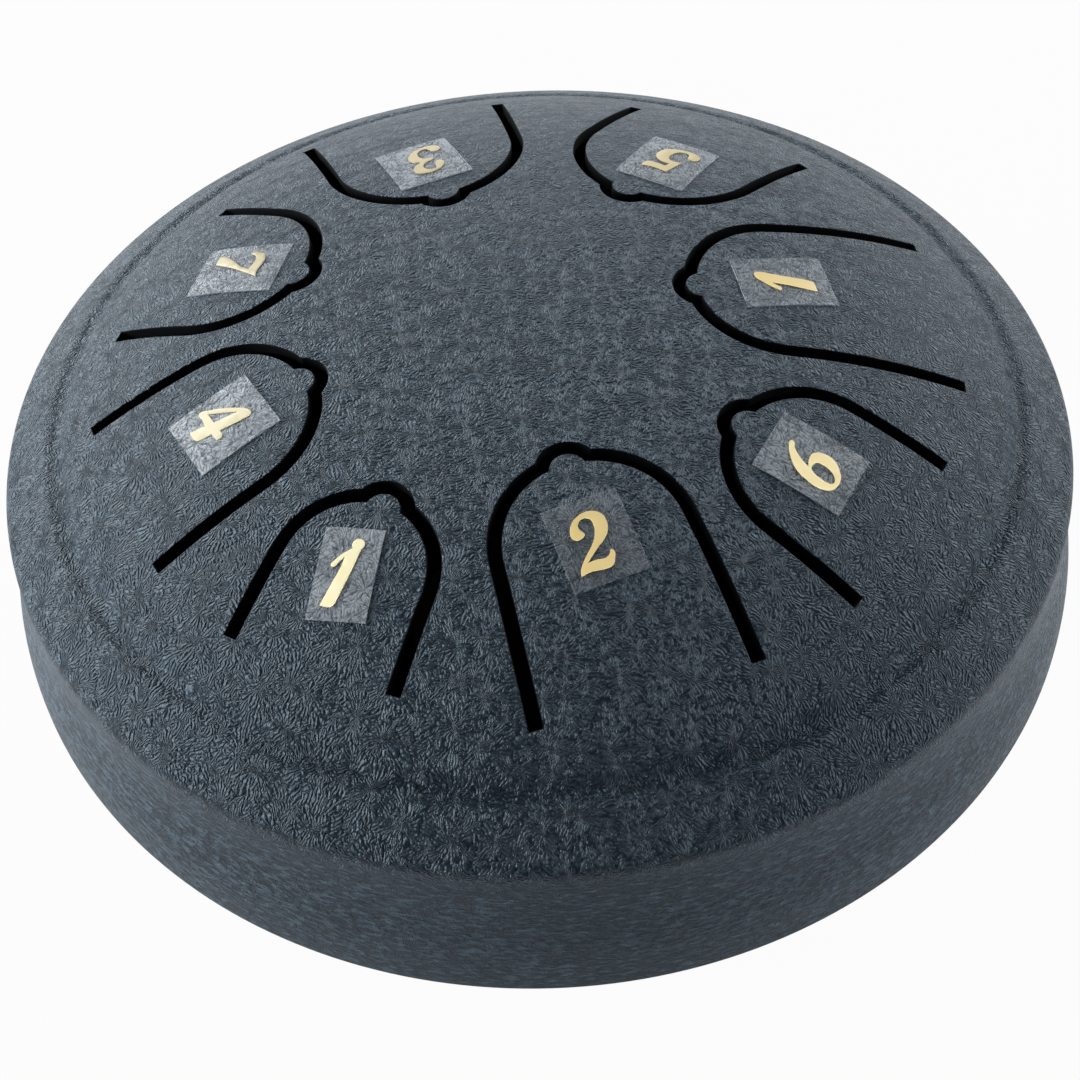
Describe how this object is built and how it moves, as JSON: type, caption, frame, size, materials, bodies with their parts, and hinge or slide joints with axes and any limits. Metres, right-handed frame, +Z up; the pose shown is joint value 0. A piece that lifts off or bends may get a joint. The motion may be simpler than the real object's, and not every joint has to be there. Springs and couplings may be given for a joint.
{
  "type": "steel tongue drum",
  "caption": "Small domed steel tongue drum: slotted top shell, lapped bottom shell with a sound hole, numbered note labels and rubber feet.",
  "frame": {"origin": "middle of the ring of feet, on the surface that the drum stands on", "axes": "+Z up through the middle of the dome; -Y towards the player, on the side of the long tongue for note 2"},
  "size_m": [0.155, 0.155, 0.075],
  "materials": {
    "coated_steel": "dark slate blue powder coat with a fine frost-flower wrinkle, satin",
    "label_film": "thin clear adhesive film with a soft sheen",
    "foot_rubber": "black moulded rubber, matte",
    "plated_steel": "bright zinc plating"
  },
  "bodies": {
    "root": {"top_shell": "coated_steel", "bottom_shell": "coated_steel", "note_label_low_1": "label_film", "note_label_2": "label_film", "note_label_3": "label_film", "note_label_4": "label_film", "note_label_5": "label_film", "note_label_6": "label_film", "note_label_7": "label_film", "note_label_high_1": "label_film", "rubber_foot_back": "foot_rubber", "rubber_foot_left": "foot_rubber", "rubber_foot_right": "foot_rubber", "foot_screws": "plated_steel", "foot_washers": "plated_steel", "foot_nuts": "plated_steel"}
  },
  "joints": []
}
